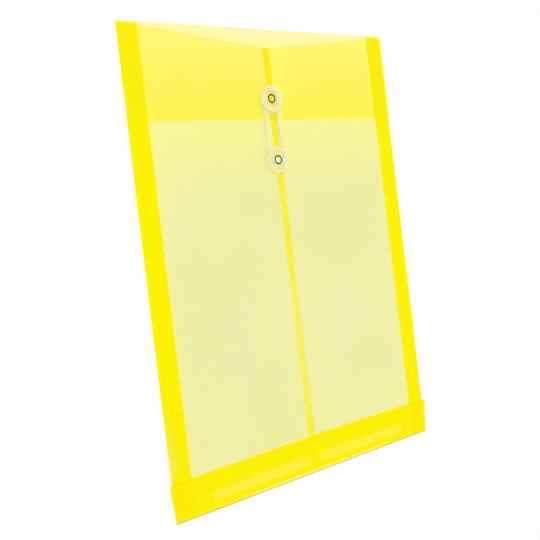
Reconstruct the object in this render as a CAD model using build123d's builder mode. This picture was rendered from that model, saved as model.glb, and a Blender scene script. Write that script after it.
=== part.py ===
from build123d import *
import math
import os

# String tie envelope of thin translucent film, lying closed on its back.
# X runs across the width, +Y towards the flap fold and +Z out of the front.
# The origin is on the lying plane, under the middle of the envelope. All sizes in mm.

# Pocket
pocket_width = 240.0
pocket_height = 330.0
film = 0.2
gusset_depth = 15.0
layer_gap = 0.3

# Front
lap_width = 5.7
lap_line = -0.7
throat_depth = 12.5
front_setback = 1.5

# Bottom hem
hem_height = 27.2
hem_flare = 2.0
hem_joint = 0.3

# Flap
flap_drop = 66.8

# Buttons
button_line = -3.45
flap_button_drop = 51.9
button_spacing = 45.0
disc_diameter = 19.6
disc_thickness = 0.7
disc_edge_round = 0.3
hub_diameter = 9.7
hub_wall = 0.45
recess_depth = 1.0
recess_margin = 0.3
button_play = 0.1

# Eyelets
eyelet_hole = 4.7
eyelet_wall = 0.3
eyelet_rim = 0.65
eyelet_rim_height = 0.25
eyelet_foot = 0.2
eyelet_fit = 0.08

# String
string_diameter = 2.2
string_clearance = 0.15
knot_length = 5.2
knot_width = 2.8
knot_height = 1.8

# Heights of the films, from the lying plane upwards
back_top = film
back_ply_top = back_top + film
front_ply_low = back_ply_top + layer_gap
front_low = front_ply_low + film
front_top = front_low + film
lap_top = front_top + film
hem_low = lap_top
hem_top = hem_low + film
flap_low = lap_top + layer_gap + eyelet_foot
flap_top = flap_low + film

# Heights on the buttons: both are alike, and the string lies flat over the flap
string_height = flap_top + string_clearance + string_diameter / 2
front_hub_low = lap_top + button_play
flap_hub_low = flap_top + button_play
hub_height = string_height + string_diameter / 2 + string_clearance - front_hub_low
button_height = hub_height + disc_thickness
seat_height = button_height - recess_depth

# Places on the envelope
side_edge = pocket_width / 2
gusset_edge = side_edge - gusset_depth
lap_left = lap_line - lap_width / 2
lap_right = lap_line + lap_width / 2
bottom_fold = -pocket_height / 2
top_fold = pocket_height / 2
hem_line = bottom_fold + hem_height
fold_radius = flap_top / 2
fold_axis = top_fold - fold_radius
hem_radius = hem_top / 2
hem_axis = bottom_fold + hem_radius
front_corner = fold_axis - front_setback
throat = front_corner - throat_depth
flap_edge = top_fold - flap_drop
flap_button_place = top_fold - flap_button_drop
front_button_place = flap_button_place - button_spacing
front_start = hem_line + hem_joint / 2
foot_end = hem_line - hem_joint / 2

# Round sizes on the buttons
eyelet_radius = eyelet_hole / 2
barrel_radius = eyelet_radius + eyelet_wall
rim_radius = barrel_radius + eyelet_rim
passage_radius = barrel_radius + eyelet_fit
recess_radius = hub_diameter / 2 - hub_wall
seat_radius = rim_radius + recess_margin
string_turn = hub_diameter / 2 + string_clearance + string_diameter / 2


def film_plate(outline, low):
    """One flat ply of film with a straight-sided outline, standing on the height low."""
    with BuildPart() as plate:
        with BuildSketch(Plane.XY.offset(low)):
            with BuildLine():
                Polyline(*outline, close=True)
            make_face()
        extrude(amount=film)
    return plate.part


def film_rectangle(left, right, start, end, low):
    """One rectangular ply of film."""
    return film_plate([(left, start), (right, start), (right, end), (left, end)], low)


def film_bend(axis_place, radius, towards):
    """Half-round bend of the film about a line across the envelope, bulging in the direction towards."""
    low_outer = (axis_place, 0)
    low_inner = (axis_place, film)
    top_outer = (axis_place, 2 * radius)
    top_inner = (axis_place, 2 * radius - film)
    with BuildPart() as bend:
        with BuildSketch(Plane.YZ.offset(-side_edge)):
            with BuildLine():
                ThreePointArc(low_outer, (axis_place + towards * radius, radius), top_outer)
                Line(top_outer, top_inner)
                ThreePointArc(top_inner, (axis_place + towards * (radius - film), radius), low_inner)
                Line(low_inner, low_outer)
            make_face()
        extrude(amount=pocket_width)
    return bend.part


def eyelet_passage(place, low, high):
    """Round bar that cuts the hole an eyelet passes through."""
    with BuildPart() as passage:
        with BuildSketch(Plane((button_line, place, low))):
            Circle(passage_radius)
        extrude(amount=high - low)
    return passage.part


def button_recess(place, hub_low):
    """Tapered hollow in the top of a button, with a flat seat for the eyelet's rim."""
    seat = hub_low + seat_height
    top = hub_low + button_height
    with BuildPart() as recess:
        with BuildSketch(Plane((button_line, place, 0), x_dir=(1, 0, 0), z_dir=(0, -1, 0))):
            with BuildLine():
                Polyline((0, seat), (seat_radius, seat), (recess_radius, top), (0, top), close=True)
            make_face()
        revolve(axis=Axis((button_line, place, 0), (0, 0, 1)))
    return recess.part


def make_button(place, hub_low):
    """Moulded button: a hub for the string and a wider disc, hollowed and bored for its eyelet."""
    with BuildPart() as button:
        with BuildSketch(Plane((button_line, place, hub_low))):
            Circle(hub_diameter / 2)
        extrude(amount=hub_height)
        with BuildSketch(Plane((button_line, place, hub_low + hub_height))):
            Circle(disc_diameter / 2)
        extrude(amount=disc_thickness)
        disc_rim = button.edges().filter_by(GeomType.CIRCLE).group_by(SortBy.RADIUS)[-1]
        fillet(disc_rim, radius=disc_edge_round)
        add(button_recess(place, hub_low), mode=Mode.SUBTRACT)
        add(eyelet_passage(place, hub_low, hub_low + button_height), mode=Mode.SUBTRACT)
    return button.part


def make_eyelet(place, film_low, hub_low):
    """Eyelet: a flat foot under the film, a barrel and a rolled rim on the button's seat."""
    foot_low = film_low - eyelet_foot
    rim_low = hub_low + seat_height + button_play
    rim_middle = (eyelet_radius + rim_radius) / 2
    with BuildPart() as eyelet:
        with BuildSketch(Plane((button_line, place, 0), x_dir=(1, 0, 0), z_dir=(0, -1, 0))):
            with BuildLine():
                Polyline(
                    (eyelet_radius, rim_low),
                    (eyelet_radius, foot_low),
                    (rim_radius, foot_low),
                    (rim_radius, film_low),
                    (barrel_radius, film_low),
                    (barrel_radius, rim_low),
                    (rim_radius, rim_low),
                )
                ThreePointArc(
                    (rim_radius, rim_low),
                    (rim_middle, rim_low + eyelet_rim_height),
                    (eyelet_radius, rim_low),
                )
            make_face()
        revolve(axis=Axis((button_line, place, 0), (0, 0, 1)))
    return eyelet.part


def make_front_panel(side):
    """Half of the pocket's front, up to the middle; the left half laps over the right one."""
    outline = [
        (side * side_edge, front_start),
        (lap_left, front_start),
        (lap_left, throat),
        (side * gusset_edge, front_corner),
        (side * side_edge, front_corner),
    ]
    with BuildPart() as panel:
        add(film_plate(outline, front_low))
        if side < 0:
            add(film_rectangle(lap_left - film, lap_right, front_start, throat, front_top))
        add(eyelet_passage(front_button_place, front_low, lap_top), mode=Mode.SUBTRACT)
    return panel.part


def make_pocket_foot():
    """Front plies inside the hem: the front, its lap and the gussets' front plies."""
    with BuildPart() as foot:
        add(film_rectangle(-side_edge, side_edge, hem_axis, foot_end, front_low))
        add(film_rectangle(lap_left, lap_right, hem_axis, foot_end, front_top))
        for side in (-1, 1):
            edges = sorted((side * side_edge, side * gusset_edge))
            add(film_rectangle(*edges, hem_axis, foot_end, front_ply_low))
    return foot.part


def make_bottom_hem():
    """Back film turned up over the foot, flaring towards its upper edge."""
    hem_top_half = side_edge + hem_flare
    outline = [
        (-side_edge, hem_axis),
        (side_edge, hem_axis),
        (hem_top_half, hem_line),
        (-hem_top_half, hem_line),
    ]
    with BuildPart() as hem:
        add(film_plate(outline, hem_low))
        add(film_bend(hem_axis, hem_radius, towards=-1))
    return hem.part


def make_flap():
    """Flap over the front, from the top fold to its straight edge."""
    with BuildPart() as flap:
        add(film_rectangle(-side_edge, side_edge, flap_edge, fold_axis, flap_low))
        add(eyelet_passage(flap_button_place, flap_low, flap_top), mode=Mode.SUBTRACT)
    return flap.part


def make_string():
    """String loop round both hubs, tied with a flat knot behind the flap button's hub."""
    left_strand = button_line - string_turn
    right_strand = button_line + string_turn
    flap_turn = flap_button_place + string_turn
    front_turn = front_button_place - string_turn
    hub_turn = string_turn - string_clearance
    tied_turn = string_turn - knot_length / 3
    route_points = [
        (button_line - knot_length / 4, flap_turn),
        (left_strand, flap_turn),
        (left_strand, front_turn),
        (right_strand, front_turn),
        (right_strand, flap_turn),
        (button_line + knot_length / 4, flap_turn),
    ]
    turn_radii = [tied_turn, hub_turn, hub_turn, tied_turn]
    with BuildPart() as string:
        with BuildLine(Plane.XY.offset(string_height)) as route:
            FilletPolyline(*route_points, radius=turn_radii)
        with BuildSketch(Plane(route.line @ 0, z_dir=route.line % 0)):
            Circle(string_diameter / 2)
        sweep()
        tube_volume = string.part.volume
        knot_place = flap_turn + (knot_width - string_diameter) / 2
        with BuildSketch(Plane((button_line, knot_place, string_height))):
            SlotOverall(knot_length, knot_width)
        extrude(amount=knot_height / 2, both=True)
    string_length = route.wire().length
    expected = math.pi * string_diameter**2 / 4 * string_length
    radii = ", ".join(f"{radius:.2f}" for radius in turn_radii)
    print(f"string: length {string_length:.1f} mm, turns of {radii} mm radius")
    print(f"string: volume {tube_volume:.1f} mm3, section times length {expected:.1f} mm3")
    return string.part


pieces = {
    "back_panel": film_rectangle(-side_edge, side_edge, hem_axis, fold_axis, 0),
    "pocket_foot": make_pocket_foot(),
    "bottom_hem": make_bottom_hem(),
    "flap_crease": film_bend(fold_axis, fold_radius, towards=1),
    "flap": make_flap(),
    "flap_button": make_button(flap_button_place, flap_hub_low),
    "front_button": make_button(front_button_place, front_hub_low),
    "flap_eyelet": make_eyelet(flap_button_place, flap_low, flap_hub_low),
    "front_eyelet": make_eyelet(front_button_place, front_low, front_hub_low),
    "string": make_string(),
}
for side_name, side in (("left", -1), ("right", 1)):
    left, right = sorted((side * side_edge, side * gusset_edge))
    back_ply = film_rectangle(left, right, hem_axis, fold_axis, back_top)
    front_ply = film_rectangle(left, right, front_start, front_corner, front_ply_low)
    pieces[f"gusset_{side_name}_back_ply"] = back_ply
    pieces[f"gusset_{side_name}_front_ply"] = front_ply
    pieces[f"front_{side_name}_panel"] = make_front_panel(side)

os.makedirs("parts", exist_ok=True)
for name, piece in pieces.items():
    piece.label = name
    export_step(piece, f"parts/{name}.step")
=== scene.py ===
import logging
import math
from dataclasses import dataclass
from enum import Enum
from typing import Callable, ClassVar, Optional, Self, Sequence

import bmesh
import bpy
from mathutils import Matrix, Vector, noise


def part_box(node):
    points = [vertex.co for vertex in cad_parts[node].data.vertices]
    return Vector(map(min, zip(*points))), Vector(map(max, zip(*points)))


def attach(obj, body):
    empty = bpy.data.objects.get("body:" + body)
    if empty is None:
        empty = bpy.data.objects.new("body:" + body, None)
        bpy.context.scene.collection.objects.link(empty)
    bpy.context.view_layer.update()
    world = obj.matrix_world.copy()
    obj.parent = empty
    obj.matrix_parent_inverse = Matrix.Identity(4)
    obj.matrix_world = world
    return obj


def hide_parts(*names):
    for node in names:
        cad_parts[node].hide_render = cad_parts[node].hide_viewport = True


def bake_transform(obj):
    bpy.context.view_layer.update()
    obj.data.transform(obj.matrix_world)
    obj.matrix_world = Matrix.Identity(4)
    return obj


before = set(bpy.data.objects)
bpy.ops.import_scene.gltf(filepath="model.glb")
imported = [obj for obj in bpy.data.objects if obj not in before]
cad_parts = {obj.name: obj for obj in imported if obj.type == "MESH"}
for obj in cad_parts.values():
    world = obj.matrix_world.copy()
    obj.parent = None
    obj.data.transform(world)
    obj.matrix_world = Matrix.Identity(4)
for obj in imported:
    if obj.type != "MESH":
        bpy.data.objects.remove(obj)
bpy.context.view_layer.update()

log = logging.getLogger("string_tie_envelope")

Colour = tuple[float, float, float]
SheetPoint = Callable[[float, float], Vector]
FaceSlot = Callable[[float, float], int]
PointRing = list[bmesh.types.BMVert]

# Lengths are in metres, and the angles of edges and arcs in degrees, here and in the classes.
# The film is a little thinner than in the solids, so that plies don't touch.
FILM = 0.00016
EYELET_HOLE_RADIUS = 0.00273
# How far the front and the gussets reach in behind the hem's edge.
HEM_TUCK = 0.0025
HARD_FILM_EDGE = 50.0
PLASTIC_IOR = 1.49
# Mesh mark for the finishes' paler tint: where film lies loose, and also the painted reflection on the
# flap and the painted highlight along the bottom fold.
LOOSE_AND_SHEEN = "loose"


class Side(Enum):
    """Side of the envelope, as its sign along X."""

    LEFT = -1
    RIGHT = 1

    @property
    def word(self) -> str:
        """The side's name in lower case."""
        return self.name.lower()


class Tab(Enum):
    """Which of the two buttons a round part belongs to."""

    FLAP = "flap"
    FRONT = "front"


def ease(value: float) -> float:
    """Smooth step from 0 to 1, flat at both ends."""
    held = min(max(value, 0.0), 1.0)
    return held * held * (3.0 - 2.0 * held)


def at_least(low: float, share: float) -> float:
    """Lifts a share between 0 and 1 so that it starts at low."""
    return low + (1.0 - low) * share


def ripple(x: float, y: float, size: float, layer: float) -> float:
    """Gentle unevenness of the film between 0 and 1.

    Args:
        x: Place across the envelope in metres.
        y: Place along the envelope in metres.
        size: Width of one ripple in metres.
        layer: Number that keeps the plies from rippling alike.

    Returns:
        The height share at that place.
    """
    wave = noise.noise(Vector((x / size, y / size, layer)))
    return 0.5 + 0.5 * max(-1.0, min(1.0, wave))


def ticks(start: float, end: float, step: float, marks: Sequence[float] = ()) -> list[float]:
    """Even places from start to end, with a line at each mark.

    Args:
        start: First place.
        end: Last place.
        step: Widest spacing between places.
        marks: Further places that get a line of their own.

    Returns:
        The places in rising order, without the even ones that come too near to a mark.
    """
    nearest = 0.3 * step
    count = max(1, math.ceil((end - start) / step - 1e-6))
    even = [start + (end - start) * i / count for i in range(count + 1)]
    kept = sorted({start, end, *(m for m in marks if start < m < end)})
    places = kept + [p for p in even if all(abs(p - k) > nearest for k in kept)]
    return sorted(places)


def middle_of(node: str) -> tuple[float, float]:
    """Middle of a node of the frame in X and Y."""
    low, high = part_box(node)
    return (low.x + high.x) / 2, (low.y + high.y) / 2


def level_of(node: str) -> float:
    """Middle height of a node of the frame."""
    low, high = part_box(node)
    return (low.z + high.z) / 2


def gusset_inner_edge() -> float:
    """Distance of the gussets' inner folds from the middle of the envelope."""
    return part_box("gusset_right_back_ply")[0].x


class NodeBench:
    """Lays out and joins the nodes of one tree."""

    def __init__(self, tree: bpy.types.NodeTree) -> None:
        """Keeps the tree and clears it."""
        self.tree = tree
        self.tree.nodes.clear()

    def node(self, kind: str, **values: object) -> bpy.types.Node:
        """Adds a node.

        Args:
            kind: Blender's type name of the node.
            values: Properties to set on the node.

        Returns:
            The new node.
        """
        made = self.tree.nodes.new(kind)
        for name, value in values.items():
            setattr(made, name, value)
        made.location = (220 * len(self.tree.nodes), 0)
        return made

    def join(self, source: bpy.types.NodeSocket, target: bpy.types.NodeSocket) -> None:
        """Links one socket to another."""
        self.tree.links.new(source, target)

    def maths(self, operation: str, first: object, second: object) -> bpy.types.NodeSocket:
        """Adds a Math node.

        Args:
            operation: Name of the operation.
            first: Socket or number for the first input.
            second: Socket or number for the second input.

        Returns:
            The result's socket.
        """
        made = self.node("ShaderNodeMath", operation=operation)
        for place, value in enumerate((first, second)):
            if isinstance(value, bpy.types.NodeSocket):
                self.join(value, made.inputs[place])
            else:
                made.inputs[place].default_value = value
        return made.outputs[0]

    def span(self, value: bpy.types.NodeSocket, low: float, high: float) -> bpy.types.NodeSocket:
        """Stretches the values from low to high over 0 to 1, with soft ends.

        Args:
            value: Socket with the values.
            low: Value that becomes 0.
            high: Value that becomes 1.

        Returns:
            The stretched value's socket.
        """
        made = self.node("ShaderNodeMapRange", interpolation_type="SMOOTHSTEP")
        self.join(value, made.inputs["Value"])
        made.inputs["From Min"].default_value = low
        made.inputs["From Max"].default_value = high
        return made.outputs["Result"]

    def clouds(
        self,
        place: bpy.types.NodeSocket,
        scale: bpy.types.NodeSocket,
        detail: float,
        roughness: float = 0.5,
    ) -> bpy.types.NodeSocket:
        """Adds a noise texture.

        Args:
            place: Socket with the place on the piece.
            scale: Socket with the texture's scale.
            detail: Number of finer layers.
            roughness: Strength of the finer layers.

        Returns:
            The noise value's socket.
        """
        made = self.node("ShaderNodeTexNoise", noise_dimensions="3D")
        made.inputs["Detail"].default_value = detail
        made.inputs["Roughness"].default_value = roughness
        self.join(place, made.inputs["Vector"])
        self.join(scale, made.inputs["Scale"])
        return made.outputs["Fac"]

    def blend(self, share: bpy.types.NodeSocket, first: object, second: object) -> bpy.types.NodeSocket:
        """Mixes two colours.

        Args:
            share: Socket with the second colour's share.
            first: Socket or colour shown at 0.
            second: Socket or colour shown at 1.

        Returns:
            The mixed colour's socket.
        """
        made = self.node("ShaderNodeMix", data_type="RGBA")
        self.join(share, made.inputs["Factor"])
        for place, value in ((6, first), (7, second)):
            if isinstance(value, bpy.types.NodeSocket):
                self.join(value, made.inputs[place])
            else:
                made.inputs[place].default_value = (*value, 1.0)
        return made.outputs[2]


class SharedEffects:
    """Shader node groups that several finishes use, each built once."""

    def __init__(self) -> None:
        """Builds the groups."""
        self.haze = self._haze()
        self.grain = self._grain()
        self.rub = self._rub()

    @staticmethod
    def _start(
        name: str, inputs: Sequence[tuple[str, str, object]], outputs: Sequence[tuple[str, str]]
    ) -> tuple[bpy.types.NodeTree, NodeBench, bpy.types.Node, bpy.types.Node]:
        """Opens a node group.

        Args:
            name: Name of the group.
            inputs: Name, socket type and usual value of each input.
            outputs: Name and socket type of each output.

        Returns:
            The group, its bench, its input node and its output node.
        """
        group = bpy.data.node_groups.new(name, "ShaderNodeTree")
        bench = NodeBench(group)
        for label, kind, value in inputs:
            socket = group.interface.new_socket(label, in_out="INPUT", socket_type=kind)
            socket.default_value = value
        for label, kind in outputs:
            group.interface.new_socket(label, in_out="OUTPUT", socket_type=kind)
        entry = bench.node("NodeGroupInput")
        leave = bench.node("NodeGroupOutput")
        return group, bench, entry, leave

    def _haze(self) -> bpy.types.NodeTree:
        """Cloudy patches of a paler colour, as in film that lies loose on the ply below.

        Returns:
            The node group.
        """
        group, bench, entry, leave = self._start(
            "cloudy_haze",
            (
                ("Deep", "NodeSocketColor", (1.0, 0.88, 0.02, 1.0)),
                ("Pale", "NodeSocketColor", (1.0, 0.94, 0.4, 1.0)),
                ("Patch Scale", "NodeSocketFloat", 14.0),
            ),
            (("Color", "NodeSocketColor"), ("Haze", "NodeSocketFloat")),
        )
        place = bench.node("ShaderNodeTexCoord")
        patches = bench.clouds(
            place.outputs["Object"], entry.outputs["Patch Scale"], detail=3.0, roughness=0.45
        )
        share = bench.span(patches, low=0.32, high=0.68)
        colour = bench.blend(share, entry.outputs["Deep"], entry.outputs["Pale"])
        bench.join(colour, leave.inputs["Color"])
        bench.join(share, leave.inputs["Haze"])
        return group

    def _grain(self) -> bpy.types.NodeTree:
        """Fine grain with faint drawing lines along the film, for roughness and bump.

        Returns:
            The node group.
        """
        group, bench, entry, leave = self._start(
            "drawn_grain",
            (
                ("Roughness", "NodeSocketFloat", 0.4),
                ("Spread", "NodeSocketFloat", 0.15),
                ("Grain Scale", "NodeSocketFloat", 900.0),
                ("Line Scale", "NodeSocketFloat", 260.0),
            ),
            (("Roughness", "NodeSocketFloat"), ("Height", "NodeSocketFloat")),
        )
        place = bench.node("ShaderNodeTexCoord")
        grain = bench.clouds(place.outputs["Object"], entry.outputs["Grain Scale"], detail=4.0)
        stretch = bench.node("ShaderNodeMapping")
        stretch.inputs["Scale"].default_value = (1.0, 0.03, 1.0)
        bench.join(place.outputs["Object"], stretch.inputs["Vector"])
        lines = bench.clouds(stretch.outputs["Vector"], entry.outputs["Line Scale"], detail=2.0)
        swing = bench.maths("SUBTRACT", grain, 0.5)
        swing = bench.maths("MULTIPLY", swing, entry.outputs["Spread"])
        rough = bench.maths("ADD", swing, entry.outputs["Roughness"])
        height = bench.maths("ADD", grain, lines)
        bench.join(rough, leave.inputs["Roughness"])
        bench.join(height, leave.inputs["Height"])
        return group

    def _rub(self) -> bpy.types.NodeTree:
        """Hairline rub marks, gathered in patches where the film is handled.

        Returns:
            The node group.
        """
        group, bench, entry, leave = self._start(
            "rub_marks",
            (("Mark Scale", "NodeSocketFloat", 90.0), ("Patch Scale", "NodeSocketFloat", 18.0)),
            (("Rub", "NodeSocketFloat"),),
        )
        place = bench.node("ShaderNodeTexCoord")
        turn = bench.node("ShaderNodeMapping")
        turn.inputs["Rotation"].default_value = (0.0, 0.0, 0.6)
        turn.inputs["Scale"].default_value = (1.0, 0.12, 1.0)
        bench.join(place.outputs["Object"], turn.inputs["Vector"])
        cells = bench.node("ShaderNodeTexVoronoi", feature="DISTANCE_TO_EDGE")
        bench.join(turn.outputs["Vector"], cells.inputs["Vector"])
        bench.join(entry.outputs["Mark Scale"], cells.inputs["Scale"])
        off_line = bench.span(cells.outputs["Distance"], low=0.0, high=0.035)
        hair = bench.maths("SUBTRACT", 1.0, off_line)
        patch = bench.clouds(place.outputs["Object"], entry.outputs["Patch Scale"], detail=2.0)
        where = bench.span(patch, low=0.5, high=0.72)
        bench.join(bench.maths("MULTIPLY", hair, where), leave.inputs["Rub"])
        return group


def place_group(bench: NodeBench, group: bpy.types.NodeTree, **values: object) -> bpy.types.Node:
    """Puts a shared effect into a material.

    Args:
        bench: Bench of the material's tree.
        group: The shared effect.
        values: Input values, with spaces in their names written as underscores.

    Returns:
        The group's node.
    """
    made = bench.node("ShaderNodeGroup", node_tree=group)
    for name, value in values.items():
        made.inputs[name.replace("_", " ")].default_value = value
    return made


def open_material(name: str) -> tuple[bpy.types.Material, NodeBench]:
    """Makes an empty node material.

    Args:
        name: Name of the material.

    Returns:
        The material and the bench of its tree.
    """
    material = bpy.data.materials.new(name)
    material.use_nodes = True
    return material, NodeBench(material.node_tree)


@dataclass(frozen=True)
class Skin:
    """Satin surface that the finishes share: cloudy colour, fine grain and rub marks."""

    deep: Colour
    pale: Colour
    worn: Colour
    patch_scale: float
    roughness: float
    bump: float
    spread: float = 0.2
    wear: float = 0.2
    rub_roughness: float = 0.0
    grain_scale: float = 900.0
    mark_scale: float = 90.0
    rub_patch_scale: float = 18.0
    bump_depth: float = 0.0001

    def lay(self, bench: NodeBench, effects: SharedEffects) -> bpy.types.Node:
        """Builds the surface.

        Args:
            bench: Bench of the material's tree.
            effects: The shared node groups.

        Returns:
            The shader node, with its colour, roughness and normal joined.
        """
        haze = place_group(
            bench,
            effects.haze,
            Deep=(*self.deep, 1.0),
            Pale=(*self.pale, 1.0),
            Patch_Scale=self.patch_scale,
        )
        grain = place_group(
            bench,
            effects.grain,
            Roughness=self.roughness,
            Spread=self.spread,
            Grain_Scale=self.grain_scale,
        )
        rub = place_group(
            bench, effects.rub, Mark_Scale=self.mark_scale, Patch_Scale=self.rub_patch_scale
        )
        skin = bench.node("ShaderNodeBsdfPrincipled")
        worn_share = bench.maths("MULTIPLY", rub.outputs["Rub"], self.wear)
        bench.join(bench.blend(worn_share, haze.outputs["Color"], self.worn), skin.inputs["Base Color"])
        rough = grain.outputs["Roughness"]
        if self.rub_roughness > 0.0:
            dulled = bench.maths("MULTIPLY", rub.outputs["Rub"], self.rub_roughness)
            rough = bench.maths("ADD", rough, dulled)
        bench.join(rough, skin.inputs["Roughness"])
        bump = bench.node("ShaderNodeBump")
        bump.inputs["Strength"].default_value = self.bump
        bump.inputs["Distance"].default_value = self.bump_depth
        bench.join(grain.outputs["Height"], bump.inputs["Height"])
        bench.join(bump.outputs["Normal"], skin.inputs["Normal"])
        return skin


def see_through(
    bench: NodeBench, skin: bpy.types.Node, tint: Colour
) -> tuple[bpy.types.Node, bpy.types.Node]:
    """Mixes a surface with a tinted clear one and joins them to the material's output.

    Args:
        bench: Bench of the material's tree.
        skin: Shader node of the surface.
        tint: Colour that the clear part gives to what shows through it.

    Returns:
        The clear shader's node and the mix node, whose factor is the surface's share.
    """
    out = bench.node("ShaderNodeOutputMaterial")
    clear = bench.node("ShaderNodeBsdfTransparent")
    clear.inputs["Color"].default_value = (*tint, 1.0)
    mix = bench.node("ShaderNodeMixShader")
    bench.join(clear.outputs["BSDF"], mix.inputs[1])
    bench.join(skin.outputs["BSDF"], mix.inputs[2])
    bench.join(mix.outputs["Shader"], out.inputs["Surface"])
    return clear, mix


@dataclass(frozen=True)
class FilmFinish:
    """Translucent film: it colours what shows through it and keeps a satin body of its own."""

    name: str
    tint: Colour
    body: float
    deep: Colour
    pale: Colour
    # Paler tint where the loose-and-sheen mark is set: loose plies, and on the flap and the bottom fold
    # a painted reflection and highlight.
    loose_and_sheen_tint: Optional[Colour] = None
    patch_scale: float = 14.0
    bump: float = 0.12
    roughness: float = 0.42
    rub_roughness: float = 0.15
    worn: Colour = (1.0, 0.97, 0.6)
    graze: float = 0.3
    graze_power: float = 4.0

    @staticmethod
    def _face_tint(tint: Colour) -> Colour:
        """Tint of one of a ply's two faces."""
        return tuple(math.sqrt(share) for share in tint)

    def material(self, effects: SharedEffects) -> bpy.types.Material:
        """Builds the finish as a node material.

        Args:
            effects: The shared node groups.

        Returns:
            The material for one ply, which has two faces.
        """
        material, bench = open_material(self.name)
        skin = Skin(
            self.deep,
            self.pale,
            self.worn,
            self.patch_scale,
            self.roughness,
            self.bump,
            rub_roughness=self.rub_roughness,
        ).lay(bench, effects)
        skin.inputs["IOR"].default_value = PLASTIC_IOR
        clear, mix = see_through(bench, skin, self._face_tint(self.tint))
        # Where the loose-and-sheen mark is 1 the film takes its paler tint: loose plies, and the painted
        # reflection on the flap and painted highlight along the bottom fold.
        if self.loose_and_sheen_tint is not None:
            mark = bench.node("ShaderNodeAttribute", attribute_name=LOOSE_AND_SHEEN)
            tints = (self._face_tint(self.tint), self._face_tint(self.loose_and_sheen_tint))
            bench.join(bench.blend(mark.outputs["Fac"], *tints), clear.inputs["Color"])
        slant = bench.node("ShaderNodeLayerWeight")
        slant.inputs["Blend"].default_value = 0.5
        graze = bench.maths("POWER", slant.outputs["Facing"], self.graze_power)
        share = bench.maths("ADD", bench.maths("MULTIPLY", graze, self.graze), self.body)
        bench.join(share, mix.inputs["Fac"])
        return material


@dataclass(frozen=True)
class MouldedFinish:
    """Moulded plastic that lets some light through: milky buttons and clear string."""

    name: str
    tint: Colour
    body: float
    deep: Colour
    pale: Colour
    roughness: float
    patch_scale: float
    coat: float
    side_body: float = 0.0
    coat_roughness: float = 0.12
    worn: Colour = (0.95, 0.95, 0.9)
    bump: float = 0.1

    def material(self, effects: SharedEffects) -> bpy.types.Material:
        """Builds the finish as a node material.

        Args:
            effects: The shared node groups.

        Returns:
            The material.
        """
        material, bench = open_material(self.name)
        skin = Skin(
            self.deep,
            self.pale,
            self.worn,
            self.patch_scale,
            self.roughness,
            self.bump,
            spread=0.12,
            grain_scale=1600.0,
            mark_scale=320.0,
            rub_patch_scale=90.0,
        ).lay(bench, effects)
        skin.inputs["IOR"].default_value = PLASTIC_IOR
        skin.inputs["Coat Weight"].default_value = self.coat
        skin.inputs["Coat Roughness"].default_value = self.coat_roughness
        _, mix = see_through(bench, skin, self.tint)
        mix.inputs["Fac"].default_value = self.body
        if self.side_body > 0.0:
            slant = bench.node("ShaderNodeLayerWeight")
            slant.inputs["Blend"].default_value = 0.4
            share = bench.maths("MULTIPLY", slant.outputs["Facing"], self.side_body)
            bench.join(bench.maths("ADD", share, self.body), mix.inputs["Fac"])
        return material


@dataclass(frozen=True)
class EyeletFinish:
    """Eyelet metal, rubbed brighter in places; edge tints its reflection at a slant. Its base colour is
    painted light: near-black on the rolled rim for a dark reflection, near-white in the bore for a lit
    inside.
    """

    name: str = "eyelet_rim_painted_dark"
    # Near-black base: a painted dark reflection on the rolled rim.
    plated: Colour = (0.012, 0.011, 0.005)
    rubbed: Colour = (0.05, 0.045, 0.02)
    roughness: float = 0.34
    edge: Colour = (0.06, 0.055, 0.03)
    patch_scale: float = 420.0
    bump: float = 0.15

    def material(self, effects: SharedEffects) -> bpy.types.Material:
        """Builds the finish as a node material.

        Args:
            effects: The shared node groups.

        Returns:
            The material.
        """
        material, bench = open_material(self.name)
        skin = Skin(
            self.plated,
            self.rubbed,
            self.rubbed,
            self.patch_scale,
            self.roughness,
            self.bump,
            wear=0.5,
            grain_scale=2400.0,
            mark_scale=700.0,
            rub_patch_scale=240.0,
            bump_depth=0.00005,
        ).lay(bench, effects)
        skin.inputs["Metallic"].default_value = 1.0
        skin.inputs["Specular Tint"].default_value = (*self.edge, 1.0)
        out = bench.node("ShaderNodeOutputMaterial")
        bench.join(skin.outputs["BSDF"], out.inputs["Surface"])
        return material


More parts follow.
